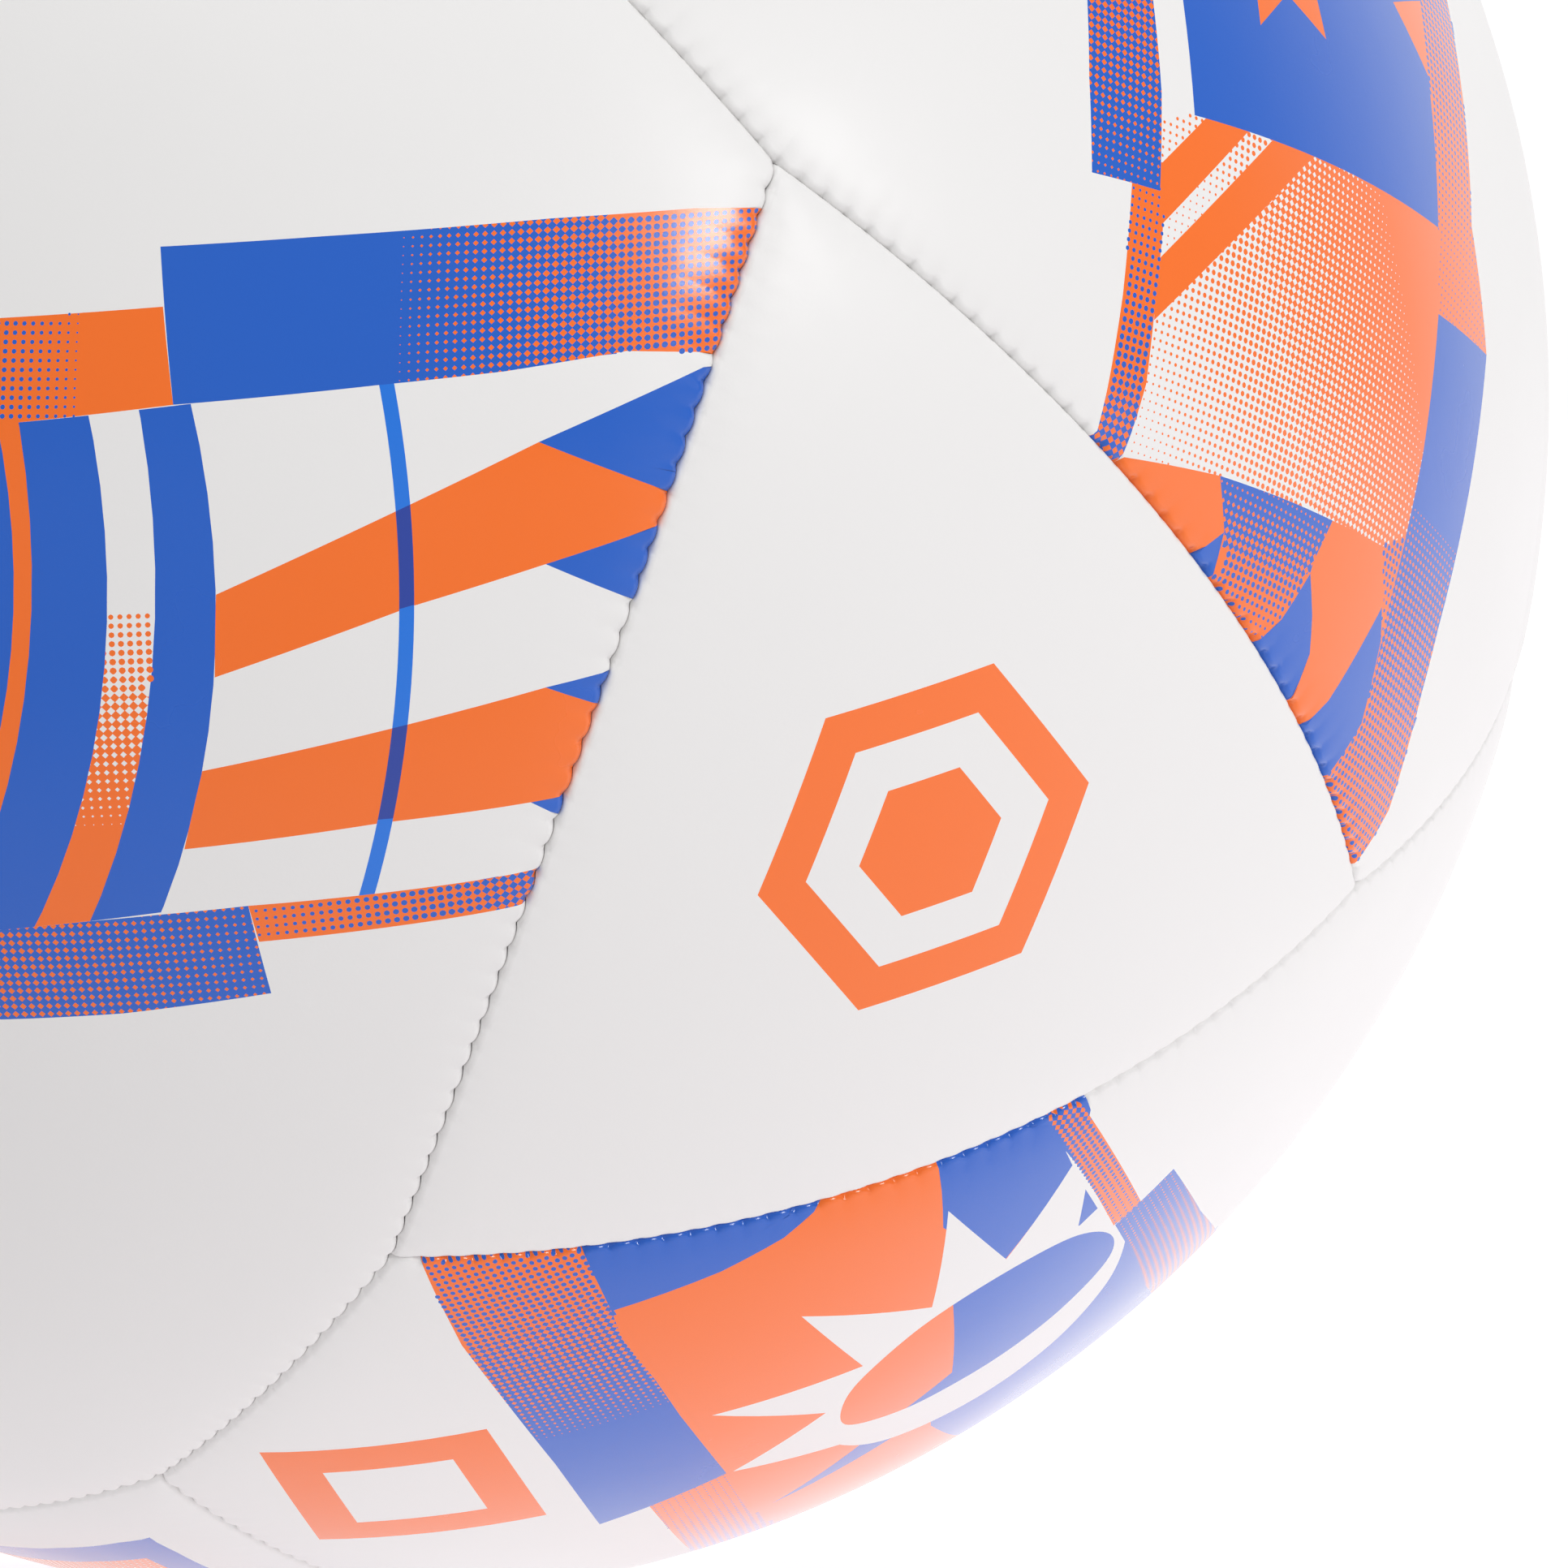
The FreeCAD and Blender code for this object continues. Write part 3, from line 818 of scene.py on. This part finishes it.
def noise(material, scale, detail=3.0, rough=0.55):
    """A noise texture in the object's own space; scale is in cells a metre."""
    nodes, links = material.node_tree.nodes, material.node_tree.links
    place = nodes.new("ShaderNodeTexCoord")
    texture = nodes.new("ShaderNodeTexNoise")
    texture.inputs["Scale"].default_value = scale
    texture.inputs["Detail"].default_value = detail
    texture.inputs["Roughness"].default_value = rough
    links.new(place.outputs["Object"], texture.inputs["Vector"])
    return texture.outputs["Fac"]


def ranged(material, value, low, high, start=0.3, end=0.7):
    """The value's range from start to end, stretched to run from low to high."""
    node = material.node_tree.nodes.new("ShaderNodeMapRange")
    node.inputs["From Min"].default_value = start
    node.inputs["From Max"].default_value = end
    node.inputs["To Min"].default_value = low
    node.inputs["To Max"].default_value = high
    material.node_tree.links.new(value, node.inputs["Value"])
    return node.outputs["Result"]


def bumped(material, shader, *layers):
    """Adds bump layers, each (height, strength, depth in metres), one on the other."""
    normal = None
    for height, strength, depth in layers:
        node = material.node_tree.nodes.new("ShaderNodeBump")
        node.inputs["Strength"].default_value = strength
        node.inputs["Distance"].default_value = depth
        material.node_tree.links.new(height, node.inputs["Height"])
        if normal is not None:
            material.node_tree.links.new(normal, node.inputs["Normal"])
        normal = node.outputs["Normal"]
    material.node_tree.links.new(normal, shader.inputs["Normal"])


def skin_material(name, colour, shine, coat, low_rough, high_rough):
    """Moulded skin: a fine grain, a faint unevenness from the foam, and smears in the gloss. The inks
    have a shinier coat than the bare white skin."""
    material, shader = new_material(name, colour, low_rough)
    shader.inputs["Specular IOR Level"].default_value = shine
    shader.inputs["IOR"].default_value = 1.5
    shader.inputs["Coat Weight"].default_value = coat
    shader.inputs["Coat Roughness"].default_value = 0.16
    shader.inputs["Sheen Weight"].default_value = coat * 0.4
    shader.inputs["Sheen Roughness"].default_value = 0.3
    smears = noise(material, 60, 4)
    material.node_tree.links.new(ranged(material, smears, low_rough, high_rough), shader.inputs["Roughness"])
    grain = noise(material, 2600, 2)
    waves = noise(material, 140, 2)
    bumped(material, shader, (waves, 0.05, 0.0008), (grain, 0.12, 0.00006))
    return material


def fabric_material(name, colour, dark, threads):
    """A plain weave, from two crossed waves; threads is in threads a metre."""
    material, shader = new_material(name, colour, 0.85)
    nodes, links = material.node_tree.nodes, material.node_tree.links
    place = nodes.new("ShaderNodeTexCoord")
    waves = []
    for direction in ("X", "Y", "Z"):
        wave = nodes.new("ShaderNodeTexWave")
        wave.bands_direction = direction
        wave.inputs["Scale"].default_value = threads / 2
        wave.inputs["Distortion"].default_value = 0.6
        links.new(place.outputs["Object"], wave.inputs["Vector"])
        waves.append(wave.outputs["Fac"])
    joined = waves[0]
    for wave in waves[1:]:
        node = nodes.new("ShaderNodeMath")
        node.operation = "MAXIMUM"
        links.new(joined, node.inputs[0])
        links.new(wave, node.inputs[1])
        joined = node.outputs[0]
    links.new(mixed(material, joined, dark, colour), shader.inputs["Base Color"])
    links.new(ranged(material, joined, 0.95, 0.75), shader.inputs["Roughness"])
    bumped(material, shader, (joined, 0.5, 0.0003), (noise(material, 4000), 0.3, 0.0001))
    return material


def mixed(material, value, low, high):
    """A colour between two, by the value."""
    ramp = material.node_tree.nodes.new("ShaderNodeValToRGB")
    for element, position, colour in zip(ramp.color_ramp.elements, (0.25, 0.75), (low, high)):
        element.position = position
        element.color = (*colour, 1)
    material.node_tree.links.new(value, ramp.inputs["Fac"])
    return ramp.outputs["Color"]


def grained_material(name, low, high, scale, roughness, depth):
    """Rubber or foam: two close tones and a grain that roughens and dents the surface."""
    material, shader = new_material(name, high, roughness)
    grain = noise(material, scale, 5)
    cloud = noise(material, scale / 12, 3)
    links = material.node_tree.links
    links.new(mixed(material, cloud, low, high), shader.inputs["Base Color"])
    rough = ranged(material, grain, roughness - 0.08, min(1.0, roughness + 0.1))
    links.new(rough, shader.inputs["Roughness"])
    bumped(material, shader, (cloud, 0.2, depth * 4), (grain, 0.35, depth))
    return material


def thread_material(name, colour, dark):
    """Twisted sewing thread: fine slanting bands."""
    material, shader = new_material(name, colour, 0.6)
    nodes, links = material.node_tree.nodes, material.node_tree.links
    place = nodes.new("ShaderNodeTexCoord")
    wave = nodes.new("ShaderNodeTexWave")
    wave.bands_direction = "DIAGONAL"
    wave.inputs["Scale"].default_value = 700
    wave.inputs["Distortion"].default_value = 1.5
    links.new(place.outputs["Object"], wave.inputs["Vector"])
    links.new(mixed(material, wave.outputs["Fac"], dark, colour), shader.inputs["Base Color"])
    links.new(ranged(material, wave.outputs["Fac"], 0.7, 0.5), shader.inputs["Roughness"])
    bumped(material, shader, (wave.outputs["Fac"], 0.6, 0.0002), (noise(material, 5000), 0.3, 0.00008))
    return material


def skin_materials():
    """The five print colours and the skin's woven back, in the order of the colour numbers."""
    tones = {
        "white": linear(237, 236, 235), "blue": linear(0, 92, 200), "orange": linear(252, 113, 12),
        "azure": linear(0, 116, 226), "deep": linear(20, 58, 160),
    }
    bare = {"shine": 0.38, "coat": 0.06, "low_rough": 0.34, "high_rough": 0.46}
    inked = {"shine": 0.5, "coat": 0.65, "low_rough": 0.18, "high_rough": 0.28}
    skins = [skin_material("skin_white", tones["white"], **bare)]
    skins += [skin_material(f"skin_{name}", tones[name], **inked) for name in COLOURS[1:]]
    return skins + [fabric_material("skin_back", linear(214, 212, 206), linear(186, 184, 178), 1600)]


# ---- the object

def build_covers():
    """Every panel's cover, each standing for its own node of the frame."""
    materials = skin_materials()
    prints = (rings_print(), burst_print(), stripes_print())
    panels = []
    for index, (axis, sign) in enumerate(FACES):
        panels.append((large_panel(index + 1, axis, sign), prints[index // 2]))
    for number, signs in enumerate(CORNERS, start=1):
        across = TURNED_CORNERS.get(number, (signs[0], -signs[1], signs[2]))
        panel = corner_panel(number, signs, across)
        shapes = []
        if number in HEXAGON_CORNERS:
            shapes = hexagon_print()
        elif number in INSET_CORNERS:
            shapes = inset_print(panel)
        panels.append((panel, shapes))
    for panel, shapes in panels:
        cover = mesh_object(panel.name + "_skin", *cover_mesh(panel, shapes), materials)
        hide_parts(panel.name)
        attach(cover, "ball")


def dress_frame():
    """Materials for the parts that keep the frame's own shapes."""
    thread = thread_material("thread", linear(232, 230, 224), linear(188, 184, 176))
    foam = grained_material("foam", linear(226, 222, 210), linear(238, 235, 226), 1500, 0.9, 0.0001)
    lining = fabric_material("lining", linear(222, 220, 212), linear(160, 158, 150), 1100)
    butyl = grained_material("butyl", linear(22, 22, 24), linear(34, 34, 36), 900, 0.5, 0.00006)
    rubber = grained_material("valve_rubber", linear(30, 30, 32), linear(42, 42, 44), 1800, 0.55, 0.00005)
    core = grained_material("core_rubber", linear(40, 40, 42), linear(58, 58, 60), 1800, 0.45, 0.00004)
    patch = grained_material("patch", linear(190, 188, 182), linear(206, 204, 198), 1200, 0.8, 0.00008)
    choices = (("stitching", thread), ("foam", foam), ("lining", lining), ("bladder", butyl),
               ("valve_housing", rubber), ("valve_core", core), ("valve_patch", patch))
    for name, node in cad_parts.items():
        for word, material in choices:
            if word in name:
                node.data.materials.clear()
                node.data.materials.append(material)
                break


# ---- the studio

def add_floor():
    """A plain pale floor under the ball, which glows more behind it than in front of it: the glow is painted
    light, emission that stands in for light falling on the floor.
    """
    mesh = bpy.data.meshes.new("floor")
    half_width = 60.0
    clearance = 0.0005
    height = -RADIUS * MM - clearance
    corners = [(x * half_width, y * half_width, height) for x, y in ((-1, -1), (1, -1), (1, 1), (-1, 1))]
    mesh.from_pydata(corners, [], [(0, 1, 2, 3)])
    material, shader = new_material("floor_paint_and_glow", (0.3, 0.3, 0.3), 0.7)
    # painted light: the glow's faint mauve tint colours the light that the ball's lower side gets from the
    # floor
    shader.inputs["Emission Color"].default_value = (1, 0.965, 0.99, 1)
    grain = noise(material, 300)
    material.node_tree.links.new(ranged(material, grain, 0.65, 0.8), shader.inputs["Roughness"])
    nodes, links = material.node_tree.nodes, material.node_tree.links
    place = nodes.new("ShaderNodeTexCoord")
    across = nodes.new("ShaderNodeVectorMath")
    across.operation = "DOT_PRODUCT"
    across.inputs[1].default_value = (0.5, 0.86, 0)
    links.new(place.outputs["Object"], across.inputs[0])
    # the painted glow's strength: dim in front of the ball, bright behind it
    dim, bright = 0.2, 0.88
    near, far = -0.3, 0.02
    glow = ranged(material, across.outputs["Value"], dim, bright, near, far)
    links.new(glow, shader.inputs["Emission Strength"])
    mesh.materials.append(material)
    floor = bpy.data.objects.new("floor", mesh)
    bpy.context.scene.collection.objects.link(floor)


def add_light(name, place, size, power, target=(0, 0, 0)):
    """A soft square light that faces the target; sizes in metres, power in watts."""
    data = bpy.data.lights.new(name, "AREA")
    data.shape = "RECTANGLE"
    data.size, data.size_y = size
    data.energy = power
    light = bpy.data.objects.new(name, data)
    light.location = place
    light.rotation_euler = (Vector(target) - Vector(place)).to_track_quat("-Z", "Y").to_euler()
    bpy.context.scene.collection.objects.link(light)


def add_world():
    """White surroundings, bright behind the ball and dimmer on the near side."""
    world = bpy.data.worlds.new("studio")
    bpy.context.scene.world = world
    world.use_nodes = True
    nodes, links = world.node_tree.nodes, world.node_tree.links
    place = nodes.new("ShaderNodeTexCoord")
    facing = nodes.new("ShaderNodeVectorMath")
    facing.operation = "DOT_PRODUCT"
    facing.inputs[1].default_value = (0.3, 0.95, 0.08)
    fade = nodes.new("ShaderNodeMapRange")
    fade.interpolation_type = "SMOOTHSTEP"
    fade.inputs["From Min"].default_value = 0.3
    fade.inputs["From Max"].default_value = 0.8
    fade.inputs["To Min"].default_value = 0.45
    fade.inputs["To Max"].default_value = 1.02
    links.new(place.outputs["Generated"], facing.inputs[0])
    links.new(facing.outputs["Value"], fade.inputs["Value"])
    links.new(fade.outputs["Result"], nodes["Background"].inputs["Strength"])
    nodes["Background"].inputs["Color"].default_value = (1, 1, 1, 1)


def add_camera():
    """The camera, level with the ball's middle and turned a little to its right and down."""
    data = bpy.data.cameras.new("camera")
    data.lens = CAMERA_LENS
    data.sensor_width = CAMERA_SENSOR
    camera = bpy.data.objects.new("camera", data)
    camera.location = (0, -CAMERA_DISTANCE, 0)
    camera.rotation_euler = Euler((math.radians(CAMERA_TILT), 0, math.radians(CAMERA_TURN)))
    bpy.context.scene.collection.objects.link(camera)
    bpy.context.scene.camera = camera


build_covers()
dress_frame()
add_floor()
add_world()
add_light("key", (1.17, -1.58, 0.58), (0.5, 0.5), 10)
add_light("top", (-0.3, -1.3, 1.9), (1.6, 1.0), 19)
add_camera()
bpy.context.scene.view_settings.view_transform = "Standard"
